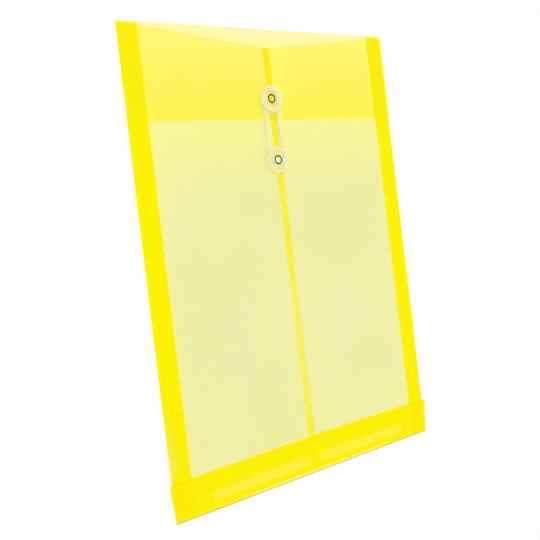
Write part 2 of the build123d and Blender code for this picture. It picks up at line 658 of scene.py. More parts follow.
class Finishes:
    """All the envelope's materials, made from the shared effects."""

    def __init__(self) -> None:
        """Makes the materials."""
        effects = SharedEffects()
        deep, rich = (1.0, 0.88, 0.0), (1.0, 0.9, 0.004)
        films = {
            "back": FilmFinish(
                "back_film",
                tint=(1.0, 0.985, 0.76),
                body=0.04,
                deep=(0.97, 0.93, 0.42),
                pale=(0.99, 0.96, 0.52),
                patch_scale=11.0,
            ),
            # The open front's greyer body and tints are painted shade and glare; the same film under the
            # flap keeps the plain yellow of the sheltered finish.
            "panel": FilmFinish(
                "front_panel_film",
                tint=(0.985, 0.975, 0.455),
                body=0.12,
                deep=(0.77, 0.78, 0.43),
                pale=(0.85, 0.85, 0.5),
                loose_and_sheen_tint=(0.905, 0.92, 0.62),
                patch_scale=9.0,
            ),
            "sheltered": FilmFinish(
                "sheltered_film",
                tint=(1.0, 0.975, 0.5),
                body=0.04,
                deep=(1.0, 0.92, 0.1),
                pale=(1.0, 0.94, 0.2),
                patch_scale=12.0,
            ),
            # Its paler tint towards the crease is a painted reflection.
            "flap": FilmFinish(
                "flap_leaf_film",
                tint=(1.0, 0.965, 0.285),
                body=0.045,
                deep=(1.0, 0.91, 0.02),
                pale=(1.0, 0.93, 0.08),
                loose_and_sheen_tint=(1.0, 0.98, 0.69),
                patch_scale=12.0,
            ),
            "flap_band": FilmFinish(
                "flap_band_film",
                tint=(1.0, 0.985, 0.285),
                body=0.045,
                deep=(1.0, 0.91, 0.02),
                pale=(1.0, 0.93, 0.08),
                patch_scale=12.0,
            ),
            "gusset": FilmFinish(
                "gusset_film",
                tint=(1.0, 0.979, 0.05),
                body=0.03,
                deep=deep,
                pale=rich,
                loose_and_sheen_tint=(0.985, 0.968, 0.67),
                patch_scale=20.0,
            ),
            "hem": FilmFinish(
                "hem_film",
                tint=(1.0, 0.906, 0.006),
                body=0.03,
                deep=deep,
                pale=rich,
                patch_scale=24.0,
            ),
            "foot": FilmFinish(
                "foot_film",
                tint=(1.0, 1.0, 0.3),
                body=0.008,
                deep=rich,
                pale=(1.0, 0.92, 0.02),
                patch_scale=30.0,
            ),
            "window_edge": FilmFinish(
                "hem_window_edge_film",
                tint=(1.0, 0.905, 0.1),
                body=0.035,
                deep=rich,
                pale=(1.0, 0.92, 0.03),
                patch_scale=30.0,
            ),
            "window": FilmFinish(
                "hem_window_film",
                tint=(1.0, 0.915, 0.29),
                body=0.035,
                deep=(1.0, 0.9, 0.04),
                pale=(1.0, 0.92, 0.1),
                patch_scale=30.0,
            ),
            # Strip along the bottom fold: its paler tint in the middle is a painted highlight where the
            # round fold catches the light.
            "fold": FilmFinish(
                "bottom_fold_film",
                tint=(0.98, 0.92, 0.03),
                body=0.05,
                deep=(0.94, 0.86, 0.05),
                pale=(0.97, 0.9, 0.15),
                loose_and_sheen_tint=(0.97, 0.945, 0.34),
                patch_scale=30.0,
            ),
            # The bend's dark grey-olive finish is painted shade on the underside of the round fold.
            "bend": FilmFinish(
                "bottom_bend_painted_shade_film",
                tint=(0.88, 0.86, 0.4),
                body=0.16,
                deep=(0.68, 0.64, 0.22),
                pale=(0.76, 0.72, 0.32),
                patch_scale=40.0,
            ),
            "weld": FilmFinish(
                "lap_weld_film",
                tint=(1.0, 0.95, 0.08),
                body=0.045,
                deep=(1.0, 0.9, 0.02),
                pale=(1.0, 0.92, 0.06),
                loose_and_sheen_tint=(0.975, 0.955, 0.465),
                patch_scale=60.0,
                bump=0.4,
            ),
        }
        moulded = {
            # The rim's paler, more opaque finish is a painted highlight along the disc's edge.
            "rim": MouldedFinish(
                "milky_rim_painted_highlight",
                tint=(1.0, 1.0, 0.96),
                body=0.5,
                deep=(0.92, 0.91, 0.54),
                pale=(0.97, 0.96, 0.62),
                roughness=0.3,
                patch_scale=120.0,
                coat=0.2,
            ),
            "face": MouldedFinish(
                "milky_face",
                tint=(1.0, 1.0, 0.97),
                body=0.42,
                deep=(0.85, 0.85, 0.63),
                pale=(0.9, 0.9, 0.69),
                roughness=0.32,
                patch_scale=120.0,
                coat=0.2,
            ),
            "hub": MouldedFinish(
                "milky_hub",
                tint=(1.0, 1.0, 0.98),
                body=0.05,
                deep=(0.92, 0.91, 0.72),
                pale=(0.97, 0.96, 0.8),
                roughness=0.32,
                patch_scale=120.0,
                coat=0.2,
            ),
            "string": MouldedFinish(
                "clear_string_cord",
                tint=(1.0, 1.0, 0.99),
                body=0.38,
                deep=(0.88, 0.88, 0.76),
                pale=(0.96, 0.96, 0.86),
                roughness=0.14,
                patch_scale=160.0,
                coat=0.8,
                side_body=0.12,
            ),
        }
        metals = {
            "eyelet": EyeletFinish(),
            # Near-white bore: painted light where the narrow inside would lie in shade.
            "bore": EyeletFinish(
                "eyelet_bore_painted_light",
                plated=(0.985, 0.98, 0.92),
                rubbed=(1.0, 1.0, 0.96),
                roughness=0.4,
                edge=(1.0, 1.0, 1.0),
            ),
        }
        self._made = {
            name: finish.material(effects) for name, finish in {**films, **moulded, **metals}.items()
        }

    def __getitem__(self, name: str) -> bpy.types.Material:
        """The material of that name."""
        return self._made[name]


def new_object(
    name: str, mesh: bpy.types.Mesh, materials: Sequence[bpy.types.Material]
) -> bpy.types.Object:
    """Puts a mesh into the scene as a piece.

    Args:
        name: Name of the piece.
        mesh: Its mesh.
        materials: Its material slots in order.

    Returns:
        The new object.
    """
    mesh.name = name
    for material in materials:
        mesh.materials.append(material)
    made = bpy.data.objects.new(name, mesh)
    bpy.context.scene.collection.objects.link(made)
    return made


def settle(shape: bmesh.types.BMesh, name: str) -> bpy.types.Mesh:
    """Ends a shape as a mesh.

    Args:
        shape: The shape, which is freed.
        name: Name of the mesh.

    Returns:
        The mesh.
    """
    mesh = bpy.data.meshes.new(name)
    shape.to_mesh(mesh)
    shape.free()
    return mesh


def bridge(shape: bmesh.types.BMesh, rings: list[PointRing], closed: bool) -> None:
    """Joins neighbouring rings of points with faces.

    Args:
        shape: Shape that gets the faces.
        rings: Rings of equally many points.
        closed: Whether the last ring also joins the first one.
    """
    for here, there in zip(rings, rings[1:] + rings[:1] if closed else rings[1:]):
        for k in range(len(here)):
            n = (k + 1) % len(here)
            shape.faces.new((here[k], there[k], there[n], here[n]))


def sharpen(shape: bmesh.types.BMesh, degrees: float) -> None:
    """Shades a shape smooth, with hard edges where its faces meet sharply.

    Args:
        shape: The shape, which is changed.
        degrees: Angle between two faces from which their edge is hard.
    """
    angle = math.radians(degrees)
    for face in shape.faces:
        face.smooth = True
    for edge in shape.edges:
        edge.smooth = len(edge.link_faces) == 2 and edge.calc_face_angle(0.0) < angle


class FilmSheet:
    """One or more plies of film as closed thin shells in one mesh."""

    def __init__(self, name: str) -> None:
        """Starts an empty mesh for a piece of that name."""
        self.name = name
        self.shape = bmesh.new()

    def ply(
        self,
        across: Sequence[float],
        along: Sequence[float],
        point: SheetPoint,
        slot: Optional[FaceSlot] = None,
    ) -> None:
        """Adds one ply over a grid.

        Args:
            across: Grid places of the first coordinate.
            along: Grid places of the second coordinate.
            point: Gives the middle of the ply at two grid places.
            slot: Gives the material slot at the middle of a face.
        """
        middle = [[point(u, v) for v in along] for u in across]
        last_u, last_v = len(across) - 1, len(along) - 1
        top, low = [], []
        for i in range(last_u + 1):
            top_line, low_line = [], []
            for j in range(last_v + 1):
                run_u = middle[min(i + 1, last_u)][j] - middle[max(i - 1, 0)][j]
                run_v = middle[i][min(j + 1, last_v)] - middle[i][max(j - 1, 0)]
                out = run_u.cross(run_v).normalized() * (FILM / 2)
                top_line.append(self.shape.verts.new(middle[i][j] + out))
                low_line.append(self.shape.verts.new(middle[i][j] - out))
            top.append(top_line)
            low.append(low_line)
        for i in range(last_u):
            for j in range(last_v):
                index = 0
                if slot is not None:
                    index = slot((across[i] + across[i + 1]) / 2, (along[j] + along[j + 1]) / 2)
                upper = (top[i][j], top[i + 1][j], top[i + 1][j + 1], top[i][j + 1])
                lower = (low[i][j + 1], low[i + 1][j + 1], low[i + 1][j], low[i][j])
                for corners in (upper, lower):
                    self.shape.faces.new(corners).material_index = index
        self._close(top, low, last_u, last_v)

    def _close(self, top: list[PointRing], low: list[PointRing], last_u: int, last_v: int) -> None:
        """Adds the cut edges round a ply between its two faces.

        Args:
            top: Points of the upper face, line by line.
            low: Points of the lower face, line by line.
            last_u: Number of the last line.
            last_v: Number of the last point in a line.
        """
        rim = [(i, 0) for i in range(last_u)] + [(last_u, j) for j in range(last_v)]
        rim += [(i, last_v) for i in range(last_u, 0, -1)] + [(0, j) for j in range(last_v, 0, -1)]
        for here, there in zip(rim, rim[1:] + rim[:1]):
            (i, j), (m, n) = here, there
            corners = (low[i][j], low[m][n], top[m][n], top[i][j])
            face = self.shape.faces.new(corners)
            neighbour = next(f for f in corners[2].link_faces if f is not face)
            face.material_index = neighbour.material_index

    def piece(self, materials: Sequence[bpy.types.Material]) -> bpy.types.Object:
        """Ends the mesh and puts it into the scene.

        Args:
            materials: Material slots of the piece.

        Returns:
            The piece.
        """
        self.shape.normal_update()
        sharpen(self.shape, HARD_FILM_EDGE)
        return new_object(self.name, settle(self.shape, self.name), materials)


def punch(piece: bpy.types.Object, centre: tuple[float, float], radius: float) -> None:
    """Punches a round hole through the film for an eyelet.

    Args:
        piece: Film piece, which is changed.
        centre: Place of the hole in X and Y.
        radius: Radius of the hole.
    """
    shape = bmesh.new()
    spot = Matrix.Translation((*centre, 0.0))
    bmesh.ops.create_cone(
        shape, cap_ends=True, segments=64, radius1=radius, radius2=radius, depth=0.02, matrix=spot
    )
    mesh = settle(shape, "punch")
    tool = bpy.data.objects.new("punch", mesh)
    bpy.context.scene.collection.objects.link(tool)
    cut = piece.modifiers.new("punch", "BOOLEAN")
    cut.operation = "DIFFERENCE"
    cut.solver = "EXACT"
    cut.object = tool
    graph = bpy.context.evaluated_depsgraph_get()
    done = bpy.data.meshes.new_from_object(piece.evaluated_get(graph))
    piece.modifiers.clear()
    shape = bmesh.new()
    shape.from_mesh(done)
    shape.normal_update()
    sharpen(shape, HARD_FILM_EDGE)
    shape.to_mesh(done)
    shape.free()
    old = piece.data
    piece.data = done
    done.name = piece.name
    bpy.data.meshes.remove(old)
    bpy.data.objects.remove(tool)
    bpy.data.meshes.remove(mesh)


def mark_loose_and_sheen(piece: bpy.types.Object, share: Callable[[Vector], float]) -> None:
    """Stores at each point of a piece the share of its finish's paler tint: how loosely the film lies,
    and also a painted reflection on the flap and a painted highlight along the bottom fold.

    Args:
        piece: Film piece, which is changed.
        share: Gives the share of the paler tint at a place, from 0 to 1.
    """
    mark = piece.data.attributes.new(LOOSE_AND_SHEEN, "FLOAT", "POINT")
    mark.data.foreach_set("value", [share(point.co) for point in piece.data.vertices])


def turn_round(
    name: str,
    outline: Sequence[tuple[float, float]],
    centre: tuple[float, float],
    steps: int,
    sharp: float,
) -> bpy.types.Object:
    """Turns a closed outline round an upright axis.

    Args:
        name: Name of the piece.
        outline: Radius and height of each outline point, in order.
        centre: Place of the axis in X and Y.
        steps: Number of steps round.
        sharp: Angle in degrees above which edges stay hard.

    Returns:
        The turned piece, without materials.
    """
    shape = bmesh.new()
    rings = []
    for step in range(steps):
        turn = 2.0 * math.pi * step / steps
        ring = []
        for radius, height in outline:
            x = centre[0] + radius * math.cos(turn)
            y = centre[1] + radius * math.sin(turn)
            ring.append(shape.verts.new((x, y, height)))
        rings.append(ring)
    bridge(shape, rings, closed=True)
    bmesh.ops.recalc_face_normals(shape, faces=shape.faces)
    sharpen(shape, sharp)
    return new_object(name, settle(shape, name), ())


def arc(
    centre: tuple[float, float], radius: float, start: float, end: float, count: int
) -> list[tuple[float, float]]:
    """Points along an arc, for an outline.

    Args:
        centre: Middle of the arc.
        radius: Its radius.
        start: Start angle in degrees.
        end: End angle in degrees.
        count: Number of steps.

    Returns:
        The points from start to end.
    """
    points = []
    for step in range(count + 1):
        turn = math.radians(start + (end - start) * step / count)
        points.append((centre[0] + radius * math.cos(turn), centre[1] + radius * math.sin(turn)))
    return points


@dataclass(frozen=True)
class SideLooseness:
    """How far the plies of the side bands part near the bottom, more on the left than on the right."""

    edge: float = 0.12
    start: float = -0.05
    end: float = -0.128
    hem_edge: float = -0.1386
    hem_hold: float = 0.012
    held_share: float = 0.45
    left_reach: tuple[float, float] = (0.005, 0.019)
    right_reach: tuple[float, float] = (0.001, 0.005)

    def __call__(self, place: Vector) -> float:
        """Looseness of the side bands.

        Args:
            place: Place on a side band.

        Returns:
            The share of how loosely the plies lie, 0 where they lie tight.
        """
        share = ease((self.start - place.y) / (self.start - self.end))
        top, bottom = self.left_reach if place.x < 0.0 else self.right_reach
        freed = ease((place.y - self.hem_edge) / self.hem_hold)
        reach = (top + (bottom - top) * share * share) * at_least(self.held_share, freed)
        return share * max(0.0, 1.0 - max(0.0, self.edge - abs(place.x)) / reach)


@dataclass
class PocketBack:
    """The back ply, from the bottom fold to the top fold."""

    left: float
    right: float
    bottom: float
    top: float
    level: float
    gusset_edge: float
    grid: tuple[float, float] = (0.005, 0.006)

    @classmethod
    def from_frame(cls) -> "PocketBack":
        """Reads the back's sizes from the frame."""
        low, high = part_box("back_panel")
        return cls(low.x, high.x, low.y, high.y, level_of("back_panel"), gusset_inner_edge())

    def build(self, finishes: Finishes) -> None:
        """Builds the back film.

        Args:
            finishes: The envelope's materials.
        """
        sheet = FilmSheet("back_film")
        across = ticks(self.left, self.right, self.grid[0], (-self.gusset_edge, self.gusset_edge))
        along = ticks(self.bottom, self.top, self.grid[1])
        sheet.ply(
            across,
            along,
            lambda x, y: Vector((x, y, self.level)),
            lambda x, y: 1 if abs(x) > self.gusset_edge else 0,
        )
        piece = sheet.piece([finishes["back"], finishes["gusset"]])
        mark_loose_and_sheen(piece, SideLooseness())
        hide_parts("back_panel")
        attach(piece, "pocket_back")
        size = (1000 * (self.right - self.left), 1000 * (self.top - self.bottom))
        log.info("back film: %.0f x %.0f mm", *size)


@dataclass
class Gusset:
    """One side gusset: a back ply and a front ply that meet in an inner fold."""

    side: Side
    outer: float
    inner: float
    start: float
    end: float
    front_end: float
    back_level: float
    front_level: float
    grid: float = 0.006
    steps: int = 8

    @classmethod
    def from_frame(cls, side: Side, hem_line: float) -> "Gusset":
        """Reads the gusset's sizes from the frame.

        Args:
            side: Side of the envelope.
            hem_line: Upper edge of the bottom hem.

        Returns:
            The gusset.
        """
        back, front = f"gusset_{side.word}_back_ply", f"gusset_{side.word}_front_ply"
        low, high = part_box(back)
        reaches = (low.x, high.x) if side is Side.LEFT else (high.x, low.x)
        ends = (hem_line - HEM_TUCK, high.y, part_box(front)[1].y)
        return cls(side, *reaches, *ends, level_of(back), level_of(front))

    def build(self, finishes: Finishes) -> None:
        """Builds the two plies; the back one ends in the inner fold.

        Args:
            finishes: The envelope's materials.
        """
        inward = -self.side.value
        fold = (self.front_level - self.back_level) / 2
        flat = self.inner - inward * fold
        along = ticks(self.start, self.end, self.grid)
        front_along = ticks(self.start, self.front_end, self.grid)
        shares = [i / self.steps for i in range(self.steps + 1)]
        bend = [1.0 + share for share in shares[1:]]

        def back_point(share: float, y: float) -> Vector:
            """Middle of the back ply and of the inner fold that it ends in.

            Args:
                share: Share of the way inwards, above 1 round the fold.
                y: Place along the envelope.

            Returns:
                The point.
            """
            if share <= 1.0:
                return Vector((self.outer + (flat - self.outer) * share, y, self.back_level))
            turn = math.pi * (share - 1.0)
            height = self.back_level + fold * (1.0 - math.cos(turn))
            return Vector((flat + inward * fold * math.sin(turn), y, height))

        def front_point(share: float, y: float) -> Vector:
            """Middle of the front ply."""
            return Vector((self.outer + (flat - self.outer) * share, y, self.front_level))

        word = self.side.word
        back = FilmSheet(f"gusset_{word}_back_film")
        front = FilmSheet(f"gusset_{word}_front_film")
        back.ply(shares + bend, along, back_point)
        front.ply(shares, front_along, front_point)
        back_piece = back.piece([finishes["gusset"]])
        front_piece = front.piece([finishes["gusset"]])
        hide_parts(f"gusset_{word}_back_ply")
        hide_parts(f"gusset_{word}_front_ply")
        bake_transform(back_piece)
        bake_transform(front_piece)
        for piece in (back_piece, front_piece):
            mark_loose_and_sheen(piece, SideLooseness())


@dataclass(frozen=True)
class FrontSwell:
    """Rise of the loose front, where it fades out and how much of it is left where the front is held."""

    rise: float = 0.0005
    edge_fade: float = 0.03
    end_fade: float = 0.05
    button_clear: float = 0.014
    seam_clear: float = 0.004
    seam_held: float = 0.35
    shelter: float = 0.092
    shelter_fade: float = 0.04
    shelter_held: float = 0.25
    wave_size: float = 0.055
    wave_layer: float = 3.0
    wave_low: float = 0.4
    wave_span: float = 1.2


@dataclass(frozen=True)
class FrontFades:
    """Distances over which the front comes loose from the back, and what is left where it is held."""

    seam_parts: float = -0.01
    seam_fade: float = 0.02
    seam_hem_fade: float = 0.05
    seam_flap_fade: float = 0.004
    seam_held: float = 0.6
    side_fade: float = 0.035
    lap_clear: float = 0.003
    lap_fade: float = 0.03
    edge_held: float = 0.8
    hem_fade: float = 0.06
    hem_held: float = 0.75
    flap_fade: float = 0.065


@dataclass
class PocketFront:
    """The two halves of the front; the left one laps over the right one in a welded seam."""

    edge: float
    gusset_edge: float
    lap_left: float
    lap_right: float
    start: float
    corner: float
    level: float
    lap_level: float
    button: tuple[float, float]
    hem: "BottomHem"
    flap: "Flap"
    throat: float = 0.1512
    throat_curve: float = 1.04
    lap_step: float = 0.0006
    hem_share: float = 0.1
    flap_share: float = 0.5
    grid: float = 0.004
    rows: tuple[int, int, int] = (2, 58, 18)
    swell: FrontSwell = FrontSwell()
    fades: FrontFades = FrontFades()
    sides: SideLooseness = SideLooseness()

    @classmethod
    def from_frame(cls, hem: "BottomHem", flap: "Flap") -> "PocketFront":
        """Reads the front's sizes from the frame.

        Args:
            hem: The hem that holds the front's lower end.
            flap: The flap over the front.

        Returns:
            The front.
        """
        left_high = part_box("front_left_panel")[1]
        low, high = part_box("front_right_panel")
        film = high.z - low.z
        corner_rise = 0.0007
        return cls(
            edge=high.x,
            gusset_edge=gusset_inner_edge(),
            lap_left=low.x,
            lap_right=left_high.x,
            start=hem.line - HEM_TUCK,
            corner=left_high.y + corner_rise,
            level=low.z + film / 2,
            lap_level=left_high.z - film / 2,
            button=middle_of("front_eyelet"),
            hem=hem,
            flap=flap,
        )

    @property
    def stops(self) -> tuple[float, float, float, float]:
        """Shares of the way up: the start, the hem's edge, the flap's edge and the top."""
        return 0.0, self.hem_share, self.flap_share, 1.0

    @property
    def seam(self) -> float:
        """Middle of the lap seam across the envelope."""
        return (self.lap_left + self.lap_right) / 2

    def top(self, x: float) -> float:
        """Upper edge of the front: a shallow throat that dips to the seam.

        Args:
            x: Place across the envelope.

        Returns:
            The edge's place along the envelope.
        """
        reach = (self.gusset_edge - self.seam) if x > self.seam else (self.gusset_edge + self.seam)
        share = min(1.0, abs(x - self.seam) / reach)
        return self.throat + (self.corner - self.throat) * share**self.throat_curve

    def height(self, x: float, y: float) -> float:
        """Rise of the loose front above its lowest level, none near its edges and its button.

        Args:
            x: Place across the envelope.
            y: Place along the envelope.

        Returns:
            The rise.
        """
        swell = self.swell
        side = ease((self.gusset_edge - abs(x)) / swell.edge_fade)
        ends = ease((y - self.start) / swell.end_fade) * ease((self.throat - y) / swell.end_fade)
        from_button = math.hypot(x - self.button[0], y - self.button[1]) - swell.button_clear
        beside_seam = ease((abs(x - self.seam) - swell.seam_clear) / swell.edge_fade)
        below_flap = ease((swell.shelter - y) / swell.shelter_fade)
        share = side * ends * ease(from_button / swell.end_fade)
        share *= at_least(swell.seam_held, beside_seam) * at_least(swell.shelter_held, below_flap)
        wave = ripple(x, y, swell.wave_size, swell.wave_layer)
        return swell.rise * share * (swell.wave_low + swell.wave_span * wave)

    def _point(self, side: Side, x: float, share: float) -> Vector:
        """Middle of one half of the front.

        Args:
            side: Which half.
            x: Place across the envelope.
            share: Share of the way up the front.

        Returns:
            The point.
        """
        stops = self.stops
        places = (self.start, self.hem.edge_at(x), self.flap.edge_at(x), self.top(x))
        n = 0 if share < stops[1] else 1 if share < stops[2] else 2
        part = (share - stops[n]) / (stops[n + 1] - stops[n])
        y = places[n] + (places[n + 1] - places[n]) * part
        level = self.level
        if side is Side.LEFT:
            step = ease((x - self.lap_left + self.lap_step) / self.lap_step)
            level += (self.lap_level - self.level) * step
        return Vector((x, y, level + self.height(x, y)))

    def loose_and_sheen_share(self, place: Vector) -> float:
        """Looseness of the front: beside the sides' own, it stands off the back between its edges.

        Args:
            place: Place on the front.

        Returns:
            The share of how loosely the front lies, 0 where it lies tight.
        """
        if abs(place.x) > self.gusset_edge:
            return self.sides(place)
        fades = self.fades
        below_flap = self.flap.edge_at(place.x) - place.y
        above_hem = place.y - self.start
        if self.lap_left <= place.x <= self.lap_right:
            lower = at_least(fades.seam_held, ease((fades.seam_parts - place.y) / fades.seam_fade))
            upper = at_least(fades.seam_held, ease(above_hem / fades.seam_hem_fade))
            return ease(below_flap / fades.seam_flap_fade) * lower * upper
        side = ease((self.gusset_edge - abs(place.x)) / fades.side_fade)
        seam = ease((abs(place.x - self.seam) - fades.lap_clear) / fades.lap_fade)
        upper = at_least(fades.hem_held, ease(above_hem / fades.hem_fade))
        return ease(below_flap / fades.flap_fade) * upper * at_least(fades.edge_held, side * seam)

    def _slot(self, x: float, share: float) -> int:
        """Chooses the finish of a face of the front.

        Args:
            x: Place across the envelope.
            share: Share of the way up the front.

        Returns:
            Material slot: 4 in the hem, 1 in the lap, 2 over a gusset, 3 under the flap, otherwise 0,
                whose greyer finish is painted shade and glare.
        """
        if share < self.hem_share:
            return 4
        if self.lap_left < x < self.lap_right:
            return 1
        if abs(x) > self.gusset_edge:
            return 2
        return 3 if share > self.flap_share else 0

    def build(self, finishes: Finishes) -> None:
        """Builds the two halves and punches the hole of the button's eyelet.

        Args:
            finishes: The envelope's materials.
        """
        marks = [self.lap_left - self.lap_step, self.lap_left - self.lap_step / 2, self.lap_left]
        marks += [self.lap_right, -self.gusset_edge, self.gusset_edge]
        shares = [0.0]
        for start, end, rows in zip(self.stops, self.stops[1:], self.rows):
            shares += ticks(start, end, (end - start) / rows)[1:]
        for side in Side:
            sheet = FilmSheet(f"front_{side.word}_film")
            ends = (-self.edge, self.lap_right) if side is Side.LEFT else (self.lap_left, self.edge)
            across = ticks(*ends, self.grid, marks)
            sheet.ply(
                across,
                shares,
                lambda x, share, side=side: self._point(side, x, share),
                self._slot,
            )
            slots = ("panel", "weld", "gusset", "sheltered", "foot")
            piece = sheet.piece([finishes[name] for name in slots])
            punch(piece, self.button, EYELET_HOLE_RADIUS)
            mark_loose_and_sheen(piece, self.loose_and_sheen_share)
            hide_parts(f"front_{side.word}_panel")
            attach(piece, "pocket_front")
            log.info("front %s film: %d faces", side.word, len(piece.data.polygons))


@dataclass
class BottomHem:
    """The end of the pocket, turned up over its own foot and welded, with two clearer windows."""

    side: float
    flare: float
    fold: float
    line: float
    level: float
    radius: float
    foot_level: float
    lap_level: float
    ply_levels: tuple[float, float]
    gusset_edge: float
    lap: tuple[float, float]
    windows: tuple[tuple[float, float], ...] = ((-0.0905, -0.0035), (0.004, 0.0916))
    window_rise: tuple[float, float] = (0.006, 0.014)
    window_soft: float = 0.0012
    fold_clear: float = 0.0024
    sink: float = 0.0008
    bow: float = 0.0012
    edge_lift: float = 0.0005
    lift_start: float = 0.016
    lift_run: float = 0.009
    wave_size: float = 0.045
    wave_layer: float = 7.0
    # Reach and fade of the painted highlight along the middle of the bottom fold.
    highlight_reach: float = 0.085
    highlight_fade: float = 0.035
    foot_tuck: float = 0.0028
    bend_steps: int = 10
    grid: tuple[float, float] = (0.004, 0.002)
    foot_grid: tuple[float, float] = (0.006, 0.005)
    lap_grid: float = 0.003

    @classmethod
    def from_frame(cls) -> "BottomHem":
        """Reads the hem's sizes from the frame.

        Returns:
            The hem.
        """
        low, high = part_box("bottom_hem")
        foot_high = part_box("pocket_foot")[1]
        ply_low, ply_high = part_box("gusset_right_back_ply")
        lap_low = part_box("front_right_panel")[0]
        lap_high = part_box("front_left_panel")[1]
        film = ply_high.z - ply_low.z
        return cls(
            side=foot_high.x,
            flare=high.x - foot_high.x,
            fold=low.y,
            line=high.y,
            level=high.z - film / 2,
            radius=(high.z - low.z) / 2 - film / 2,
            foot_level=foot_high.z - 1.5 * film,
            lap_level=foot_high.z - film / 2,
            ply_levels=(level_of("gusset_right_back_ply"), level_of("gusset_right_front_ply")),
            gusset_edge=gusset_inner_edge(),
            lap=(lap_low.x, lap_high.x),
        )

    def edge_at(self, x: float) -> float:
        """Place of the hem's upper edge along the envelope, a little bowed."""
        unflared = x / (1.0 + self.flare / self.side)
        return self.line + self.bow * (1.0 - (unflared / self.side) ** 2) - self.sink

    def _point(self, x: float, run: float) -> Vector:
        """Middle of the hem film.

        Args:
            x: Place across the envelope, before the flare.
            run: Length along the film, below 0 round the bottom fold and above it up the hem.

        Returns:
            The point.
        """
        middle = self.fold + self.radius + FILM / 2
        if run <= 0.0:
            turn = math.pi / 2 - run / self.radius
            height = self.level - self.radius + self.radius * math.sin(turn)
            return Vector((x, middle + self.radius * math.cos(turn), height))
        share = ease(run / (self.line - middle))
        y = middle + run + share * (self.bow * (1.0 - (x / self.side) ** 2) - self.sink)
        wide = x * (1.0 + self.flare / self.side * share)
        lift = self.edge_lift * ease((run - self.lift_start) / self.lift_run)
        lift *= ripple(x, 0.0, self.wave_size, self.wave_layer)
        return Vector((wide, y, self.level + lift))

    def _slot(self, x: float, run: float) -> int:
        """Chooses the finish of a face of the hem.

        Args:
            x: Place across the envelope, before the flare.
            run: Length along the film from the end of the bottom fold.

        Returns:
            Material slot: 1 in a window, 2 round its edge, 3 at the fold, whose paler middle is a
                painted highlight, 4 in the bend, which is painted in shade, otherwise 0.
        """
        rise = run + self.radius + FILM / 2
        if run < 0.0:
            return 4
        if rise < self.fold_clear:
            return 3
        low, high = self.window_rise
        for left, right in self.windows:
            inside = min(x - left, right - x, rise - low, high - rise)
            if inside > self.window_soft:
                return 1
            if inside > 0.0:
                return 2
        return 0

    def build(self, finishes: Finishes) -> None:
        """Builds the turned-up film and the plies of the foot inside it.

        Args:
            finishes: The envelope's materials.
        """
        soft = self.window_soft
        marks_x = []
        for left, right in self.windows:
            marks_x += [left, left + soft, right - soft, right]
        base = self.radius + FILM / 2
        low, high = self.window_rise
        marks_run = [rise - base for rise in (self.fold_clear, low, low + soft, high - soft, high)]
        across = ticks(-self.side, self.side, self.grid[0], marks_x)
        steps = self.bend_steps
        round_fold = [-math.pi * self.radius * i / steps for i in range(steps, 0, -1)]
        along = round_fold + ticks(0.0, self.line - self.fold - base, self.grid[1], marks_run)
        sheet = FilmSheet("hem_film")
        sheet.ply(across, along, self._point, self._slot)
        slots = ("hem", "window", "window_edge", "fold", "bend")
        hem = sheet.piece([finishes[name] for name in slots])
        # The middle of the strip along the bottom fold is paler: a painted highlight where the round
        # fold catches the light.
        mark_loose_and_sheen(hem, lambda place: ease((self.highlight_reach - abs(place.x)) / self.highlight_fade))
        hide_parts("bottom_hem")
        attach(hem, "pocket_back")
        self._build_foot(finishes)
        log.info("hem film: %d faces", len(hem.data.polygons))

    def _build_foot(self, finishes: Finishes) -> None:
        """Builds the plies inside the hem as one piece.

        Args:
            finishes: The envelope's materials.
        """
        foot = FilmSheet("foot_film")
        wide, fine = self.foot_grid
        along = ticks(self.fold + self.fold_clear, self.line - self.foot_tuck, fine)

        def flat(level: float) -> SheetPoint:
            """A ply that lies flat at one level."""
            return lambda x, y: Vector((x, y, level))

        foot.ply(ticks(-self.side, self.side, wide), along, flat(self.foot_level))
        foot.ply(ticks(*self.lap, self.lap_grid), along, flat(self.lap_level))
        for side in Side:
            ends = sorted((side.value * self.gusset_edge, side.value * self.side))
            for level in self.ply_levels:
                foot.ply(ticks(*ends, fine), along, flat(level))
        piece = foot.piece([finishes["foot"]])
        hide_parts("pocket_foot")
        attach(piece, "pocket_back")


